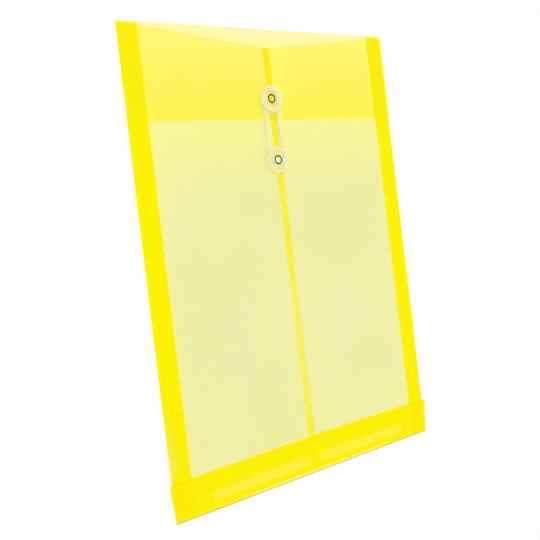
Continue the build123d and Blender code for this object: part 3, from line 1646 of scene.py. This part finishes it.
@dataclass
class Flap:
    """The flap and the crease that joins it to the back."""

    side: float
    edge: float
    axis: float
    level: float
    low_level: float
    button: tuple[float, float]
    gusset_edge: float
    skew: float = 0.012
    corner_lift: float = 0.0002
    corner_start: float = 0.05
    corner_run: float = 0.07
    button_clear: float = 0.013
    button_fade: float = 0.05
    wave: float = 0.0004
    wave_size: float = 0.05
    wave_layer: float = 11.0
    crease_steps: int = 14
    blend_margin: float = 0.0001
    grid: tuple[float, float] = (0.004, 0.003)

    @classmethod
    def from_frame(cls) -> "Flap":
        """Reads the flap's sizes from the frame.

        Returns:
            The flap.
        """
        low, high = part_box("flap")
        return cls(
            side=high.x,
            edge=low.y,
            axis=high.y,
            level=level_of("flap"),
            low_level=level_of("back_panel"),
            button=middle_of("flap_eyelet"),
            gusset_edge=gusset_inner_edge(),
        )

    @property
    def radius(self) -> float:
        """Radius of the crease."""
        return (self.level - self.low_level) / 2

    def _slant(self, x: float) -> float:
        """Stretch of the flap's drop, a little longer on the right."""
        return 1.0 + self.skew * x / self.side

    def edge_at(self, x: float) -> float:
        """Place of the flap's free edge along the envelope."""
        return self.axis - (self.axis - self.edge) * self._slant(x)

    def _point(self, x: float, run: float) -> Vector:
        """Middle of the flap's film.

        Args:
            x: Place across the envelope.
            run: Length along the film, below 0 round the crease and above it down the flap.

        Returns:
            The point.
        """
        if run <= 0.0:
            turn = math.pi / 2 + run / self.radius
            height = self.low_level + self.radius + self.radius * math.sin(turn)
            return Vector((x, self.axis + self.radius * math.cos(turn), height))
        y = self.axis - run * self._slant(x)
        free = ease(run / (self.axis - self.edge))
        from_button = math.hypot(x - self.button[0], y - self.button[1]) - self.button_clear
        waves = ease(from_button / self.button_fade) * free
        waves *= ripple(x, y, self.wave_size, self.wave_layer)
        corner = ease((abs(x) - self.corner_start) / self.corner_run)
        lift = self.corner_lift * free * corner + self.wave * waves
        return Vector((x, y, self.level + lift))

    def loose_and_sheen_share(self, place: Vector) -> float:
        """Share of the flap's paler tint, from none at its edge to all at its crease: a painted
        reflection.
        """
        return min(1.0, max(0.0, (place.y - self.edge) / (self.axis - self.edge)))

    def build(self, finishes: Finishes) -> None:
        """Builds the flap with the round crease that joins it to the back.

        Args:
            finishes: The envelope's materials.
        """
        steps = self.crease_steps
        round_crease = [-math.pi * self.radius * i / steps for i in range(steps, 0, -1)]
        along = round_crease + ticks(0.0, self.axis - self.edge, self.grid[1])
        across = ticks(-self.side, self.side, self.grid[0], (-self.gusset_edge, self.gusset_edge))
        sheet = FilmSheet("flap_film")
        sheet.ply(
            along,
            across,
            lambda run, x: self._point(x, run),
            lambda run, x: 1 if abs(x) > self.gusset_edge else 0,
        )
        piece = sheet.piece([finishes["flap"], finishes["flap_band"]])
        punch(piece, self.button, EYELET_HOLE_RADIUS)
        # The flap grows paler towards its crease: a painted reflection, stored in the loose-and-sheen
        # mark.
        mark_loose_and_sheen(piece, self.loose_and_sheen_share)
        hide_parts("flap", "flap_crease")
        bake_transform(piece)
        log.info("flap film: %.1f mm from crease to edge", 1000 * (self.axis - self.edge))


@dataclass
class RoundPart:
    """A part that is round in plan and belongs to one of the two buttons."""

    word: ClassVar[str] = ""
    tab: Tab
    centre: tuple[float, float]
    low: float
    high: float
    radius: float

    @classmethod
    def from_frame(cls, tab: Tab) -> Self:
        """Reads the part's sizes from the frame.

        Args:
            tab: Which of the two buttons.

        Returns:
            The part.
        """
        node = f"{tab.value}_{cls.word}"
        low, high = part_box(node)
        return cls(tab, middle_of(node), low.z, high.z, (high.x - low.x) / 2)


@dataclass
class Button(RoundPart):
    """A moulded button: a hub for the string under a wide disc with a bead round its rim."""

    word: ClassVar[str] = "button"
    hub_radius: float = 0.00485
    hub_chamfer: float = 0.0003
    hub_fillet: float = 0.0004
    disc_thickness: float = 0.0007
    rim_width: float = 0.0018
    bead: float = 0.0002
    bead_slope: float = 0.0006
    recess_depth: float = 0.001
    recess_radius: float = 0.0044
    lip_width: float = 0.0003
    lip_drop: float = 0.0002
    seat_radius: float = 0.0036
    facing_up: float = 0.5
    steps: int = 96
    hard_edge: float = 35.0

    def build(self, finishes: Finishes) -> None:
        """Turns the button and lets it spin with its own body.

        Args:
            finishes: The envelope's materials.
        """
        under = self.high - self.disc_thickness
        edge = self.disc_thickness / 2
        face = self.high - self.bead
        seat = self.high - self.recess_depth
        hub, rim = self.hub_radius, self.radius - self.rim_width
        outline = [
            (EYELET_HOLE_RADIUS, seat),
            (EYELET_HOLE_RADIUS, self.low),
            (hub - self.hub_chamfer, self.low),
            (hub, self.low + self.hub_chamfer),
            (hub, under - self.hub_fillet),
            (hub + self.hub_fillet, under),
            (rim, under),
            *arc((self.radius - edge, under + edge), edge, start=-90.0, end=90.0, count=8),
            (rim + self.bead_slope, self.high),
            (rim, face),
            (self.recess_radius + self.lip_width, face),
            (self.recess_radius, face - self.lip_drop),
            (self.seat_radius, seat),
        ]
        name = f"{self.tab.value}_button_disc"
        piece = turn_round(name, outline, self.centre, self.steps, self.hard_edge)
        for finish in ("hub", "face", "rim"):
            piece.data.materials.append(finishes[finish])
        for part in piece.data.polygons:
            spot = part.center
            reach = math.hypot(spot.x - self.centre[0], spot.y - self.centre[1])
            # Faces beyond the rim's inner edge take the painted edge highlight.
            if reach > rim:
                part.material_index = 2
            elif reach > self.recess_radius and part.normal.z > self.facing_up:
                part.material_index = 1
        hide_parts(f"{self.tab.value}_button")
        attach(piece, f"{self.tab.value}_disc")
        log.info("%s button: disc of %.1f mm", self.tab.value, 2000 * self.radius)


@dataclass
class Eyelet(RoundPart):
    """A rolled metal eyelet that holds a button in the film."""

    word: ClassVar[str] = "eyelet"
    bore: float = 0.00235
    wall: float = 0.0003
    rim_height: float = 0.00025
    rim_tuck: float = 0.0001
    seat_gap: float = 0.00002
    foot: float = 0.0002
    foot_chamfer: float = 0.0002
    roll_steps: int = 10
    steps: int = 72
    hard_edge: float = 40.0

    def build(self, finishes: Finishes) -> None:
        """Turns the eyelet, which goes with the film that it is set in.

        Args:
            finishes: The envelope's materials.
        """
        barrel = self.bore + self.wall
        roll = (self.radius - self.bore) / 2
        seat = self.high - self.rim_height
        outline = [
            (self.bore, seat - self.rim_tuck),
            (self.bore, self.low + self.foot_chamfer),
            (self.bore + self.foot_chamfer, self.low),
            (self.radius, self.low),
            (self.radius, self.low + self.foot),
            (barrel, self.low + self.foot),
            (barrel, seat - self.seat_gap),
            (self.radius - self.rim_tuck, seat - self.seat_gap),
        ]
        for step in range(self.roll_steps + 1):
            turn = math.pi * step / self.roll_steps
            reach = self.radius - roll + roll * math.cos(turn)
            outline.append((reach, seat + self.rim_height * math.sin(turn)))
        name = f"{self.tab.value}_eyelet_ring"
        piece = turn_round(name, outline, self.centre, self.steps, self.hard_edge)
        for finish in ("eyelet", "bore"):
            piece.data.materials.append(finishes[finish])
        for part in piece.data.polygons:
            # The rolled rim above the seat takes the near-black painted dark reflection, the rest below
            # it the near-white painted light.
            part.material_index = 0 if part.center.z > seat else 1
        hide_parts(f"{self.tab.value}_eyelet")
        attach(piece, "flap_leaf" if self.tab is Tab.FLAP else "pocket_front")
        log.info("%s eyelet: bore of %.1f mm", self.tab.value, 2000 * self.bore)


def string_curve(
    name: str, places: Sequence[tuple[float, float]], level: float, radius: float, roundness: int
) -> bpy.types.Curve:
    """Makes a round string along a smooth line at one height.

    Args:
        name: Name of the curve.
        places: Control points across and along the envelope.
        level: Height of the line.
        radius: Radius of the string.
        roundness: Fineness of its round section.

    Returns:
        The curve, with one open spline.
    """
    curve = bpy.data.curves.new(name, "CURVE")
    curve.dimensions = "3D"
    spline = curve.splines.new("NURBS")
    spline.points.add(len(places) - 1)
    for point, (x, y) in zip(spline.points, places):
        point.co = (x, y, level, 1.0)
    spline.order_u = 3
    spline.use_endpoint_u = True
    curve.bevel_depth = radius
    curve.bevel_resolution = roundness
    curve.use_fill_caps = True
    return curve


@dataclass
class StringLoop:
    """The clear string, taut round both hubs, tied behind the flap button's hub."""

    diameter: float = 0.0022
    length: float = 0.1273
    level: float = 0.00325
    turn_share: float = 0.38
    knot_place: tuple[float, float] = (-0.00345, 0.1195)
    knot_length: float = 0.0052
    knot_width: float = 0.0028
    knot_height: float = 0.0018
    knot_wraps: int = 3
    wrap_depth: float = 0.12
    wrap_slant: float = 0.0002
    knot_rings: int = 25
    knot_steps: int = 24
    knot_fullness: float = 3.2
    knot_end: float = 0.02
    knot_hard_edge: float = 60.0

    def route(self) -> list[tuple[float, float]]:
        """Control points of the string from knot to knot, in metres across and along."""
        return [
            (-0.00475, 0.1192),
            (-0.00955, 0.1192),
            (-0.00955, 0.1144),
            (-0.00955, 0.0742),
            (-0.00955, 0.0620),
            (0.00265, 0.0620),
            (0.00265, 0.0742),
            (0.00265, 0.1144),
            (0.00265, 0.1192),
            (-0.00215, 0.1192),
        ]

    def build(self, finishes: Finishes) -> None:
        """Builds the string on its spline and the knot on its ends.

        Args:
            finishes: The envelope's materials.
        """
        route = self.route()
        curve = string_curve("string_loop", route, self.level, self.diameter / 2, roundness=7)
        curve.splines[0].resolution_u = 24
        curve.materials.append(finishes["string"])
        string = bpy.data.objects.new("string_loop", curve)
        bpy.context.scene.collection.objects.link(string)
        knot = self._knot(finishes)
        turn = self._closing_turn(finishes)
        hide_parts("string")
        for piece in (string, knot, turn):
            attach(piece, "flap_leaf")
        log.info("string loop: %.0f mm of %.1f mm string", 1000 * self.length, 1000 * self.diameter)

    def turn_route(self) -> list[tuple[float, float]]:
        """Control points of the closing turn, in metres across and along."""
        return [
            (0.0027, 0.1068),
            (0.0018, 0.1042),
            (-0.0034, 0.1031),
            (-0.0084, 0.1012),
            (-0.0095, 0.0962),
        ]

    def _closing_turn(self, finishes: Finishes) -> bpy.types.Object:
        """Builds the short turn that draws the two strands together under the flap's disc.

        Args:
            finishes: The envelope's materials.

        Returns:
            The turn, as a mesh tube.
        """
        radius = self.turn_share * self.diameter
        curve = string_curve("string_turn", self.turn_route(), self.level, radius, roundness=5)
        tool = bpy.data.objects.new("string_turn", curve)
        mesh = bpy.data.meshes.new_from_object(tool)
        bpy.data.objects.remove(tool)
        bpy.data.curves.remove(curve)
        mesh.shade_smooth()
        return new_object("string_turn", mesh, [finishes["string"]])

    def _knot(self, finishes: Finishes) -> bpy.types.Object:
        """Builds the flat knot: three wraps over the two ends of the string.

        Args:
            finishes: The envelope's materials.

        Returns:
            The knot.
        """
        shape = bmesh.new()
        rings = []
        steps = self.knot_steps
        middle = Vector((*self.knot_place, self.level))
        for i in range(self.knot_rings):
            share = 2.0 * i / (self.knot_rings - 1) - 1.0
            wrap = 1.0 - self.wrap_depth + self.wrap_depth * math.cos(self.knot_wraps * math.pi * share)
            full = math.sqrt(max(0.0, 1.0 - abs(share) ** self.knot_fullness))
            size = wrap * full + self.knot_end
            ring = []
            for k in range(steps):
                turn = 2.0 * math.pi * k / steps
                x = share * self.knot_length / 2 + self.wrap_slant * math.sin(turn)
                y = size * self.knot_width / 2 * math.cos(turn)
                z = size * self.knot_height / 2 * math.sin(turn)
                ring.append(shape.verts.new(middle + Vector((x, y, z))))
            rings.append(ring)
        bridge(shape, rings, closed=False)
        shape.faces.new(rings[0])
        shape.faces.new(list(reversed(rings[-1])))
        bmesh.ops.recalc_face_normals(shape, faces=shape.faces)
        sharpen(shape, self.knot_hard_edge)
        return new_object("string_knot", settle(shape, "string_knot"), [finishes["string"]])


@dataclass
class Studio:
    """Camera, soft lamps, world and the pale floor."""

    lens: float = 52.0
    eye: tuple[float, float, float] = (-0.3570, 0.0240, 0.4546)
    look: tuple[float, float, float] = (0.6014, -0.0089, -0.7989)
    up: tuple[float, float, float] = (0.1007, 0.9928, 0.0647)
    shift: tuple[float, float] = (-0.0011, -0.0774)
    ambient: float = 0.6
    floor_glow: float = 0.88
    floor_level: float = -0.0002

    def build(self) -> None:
        """Sets up everything that isn't part of the envelope."""
        self._camera()
        self._lamps()
        self._world()
        self._floor()
        scene = bpy.context.scene
        scene.view_settings.view_transform = "Standard"
        scene.cycles.transparent_max_bounces = 24

    def _camera(self) -> None:
        """Places the camera where the picture was taken from."""
        data = bpy.data.cameras.new("camera")
        data.lens = self.lens
        data.sensor_width = 36.0
        data.shift_x, data.shift_y = self.shift
        data.clip_start = 0.01
        data.clip_end = 20.0
        camera = bpy.data.objects.new("camera", data)
        back = -Vector(self.look).normalized()
        right = Vector(self.up).cross(back).normalized()
        top = back.cross(right)
        turn = Matrix((right, top, back)).transposed().to_4x4()
        camera.matrix_world = Matrix.Translation(self.eye) @ turn
        bpy.context.scene.collection.objects.link(camera)
        bpy.context.scene.camera = camera

    def _lamps(self) -> None:
        """Hangs two large soft lamps."""
        for name, place, size, power in (
            ("key_lamp", (-0.45, 0.55, 1.25), 1.0, 7.6),
            ("fill_lamp", (0.75, -0.35, 1.05), 1.2, 4.2),
        ):
            data = bpy.data.lights.new(name, "AREA")
            data.shape = "SQUARE"
            data.size = size
            data.energy = power
            lamp = bpy.data.objects.new(name, data)
            lamp.location = place
            lamp.rotation_euler = Vector(place).to_track_quat("Z", "Y").to_euler()
            bpy.context.scene.collection.objects.link(lamp)

    def _sight(self, bench: NodeBench) -> bpy.types.NodeSocket:
        """Tells the rays that show the background from those that only light the envelope.

        Args:
            bench: Bench of the tree that needs to know.

        Returns:
            Socket that is 1 for sight, gloss and clear parts, otherwise 0.
        """
        path = bench.node("ShaderNodeLightPath")
        seen = bench.maths("MAXIMUM", path.outputs["Is Camera Ray"], path.outputs["Is Glossy Ray"])
        return bench.maths("MAXIMUM", seen, path.outputs["Is Transmission Ray"])

    def _world(self) -> None:
        """Lights the scene evenly and shows as white."""
        world = bpy.data.worlds.new("studio")
        world.use_nodes = True
        bench = NodeBench(world.node_tree)
        out = bench.node("ShaderNodeOutputWorld")
        soft = bench.node("ShaderNodeBackground")
        soft.inputs["Color"].default_value = (1.0, 1.0, 1.0, 1.0)
        soft.inputs["Strength"].default_value = self.ambient
        white = bench.node("ShaderNodeBackground")
        white.inputs["Color"].default_value = (1.0, 1.0, 1.0, 1.0)
        white.inputs["Strength"].default_value = 1.0
        mix = bench.node("ShaderNodeMixShader")
        bench.join(self._sight(bench), mix.inputs["Fac"])
        bench.join(soft.outputs["Background"], mix.inputs[1])
        bench.join(white.outputs["Background"], mix.inputs[2])
        bench.join(mix.outputs["Shader"], out.inputs["Surface"])
        bpy.context.scene.world = world

    def _floor(self) -> None:
        """Lays the pale floor just under the envelope."""
        material, bench = open_material("pale_floor")
        out = bench.node("ShaderNodeOutputMaterial")
        matt = bench.node("ShaderNodeBsdfPrincipled")
        matt.inputs["Base Color"].default_value = (0.94, 0.94, 0.94, 1.0)
        matt.inputs["Roughness"].default_value = 0.9
        matt.inputs["Specular IOR Level"].default_value = 0.0
        glow = bench.node("ShaderNodeEmission")
        glow.inputs["Color"].default_value = (1.0, 1.0, 1.0, 1.0)
        glow.inputs["Strength"].default_value = 1.0
        mix = bench.node("ShaderNodeMixShader")
        share = bench.maths("MULTIPLY", self._sight(bench), self.floor_glow)
        bench.join(share, mix.inputs["Fac"])
        bench.join(matt.outputs["BSDF"], mix.inputs[1])
        bench.join(glow.outputs["Emission"], mix.inputs[2])
        bench.join(mix.outputs["Shader"], out.inputs["Surface"])
        shape = bmesh.new()
        bmesh.ops.create_grid(shape, x_segments=8, y_segments=8, size=4.0)
        floor = new_object("floor", settle(shape, "floor"), [material])
        floor.location.z = self.floor_level


def main() -> None:
    """Builds the envelope's pieces in order and logs a line for most of them."""
    logging.basicConfig(level=logging.INFO, format="%(message)s")
    Studio().build()
    finishes = Finishes()
    hem = BottomHem.from_frame()
    StringLoop().build(finishes)
    PocketBack.from_frame().build(finishes)
    for side in Side:
        Gusset.from_frame(side, hem.line).build(finishes)
    flap = Flap.from_frame()
    PocketFront.from_frame(hem, flap).build(finishes)
    hem.build(finishes)
    flap.build(finishes)
    for tab in Tab:
        Button.from_frame(tab).build(finishes)
        Eyelet.from_frame(tab).build(finishes)


if __name__ == "__main__":
    main()
